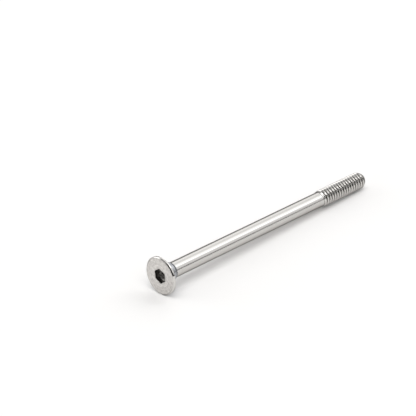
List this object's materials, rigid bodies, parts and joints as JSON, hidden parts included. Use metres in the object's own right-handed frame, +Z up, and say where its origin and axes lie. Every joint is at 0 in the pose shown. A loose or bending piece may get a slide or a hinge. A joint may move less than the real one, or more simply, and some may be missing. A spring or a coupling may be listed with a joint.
{
  "type": "socket head bolt",
  "caption": "Long slender bolt with a thin flat disc head, a hex socket, a short collar, a plain round shank and a threaded end, lying on its side.",
  "frame": {"origin": "on the surface that the bolt lies on, below the middle of its box", "axes": "+Z up; +X from the head to the tip, along the bolt's length. The bolt's own axis dips 2.1 degrees from +X towards the surface, because it lies on the rim of its head and on a crest of its thread"},
  "size_m": [0.1012, 0.0136, 0.0136],
  "materials": {
    "steel": "bright nickel-plated steel: finely turned face, polished shank, rolled thread"
  },
  "bodies": {
    "root": {"bolt": "steel"}
  },
  "joints": []
}
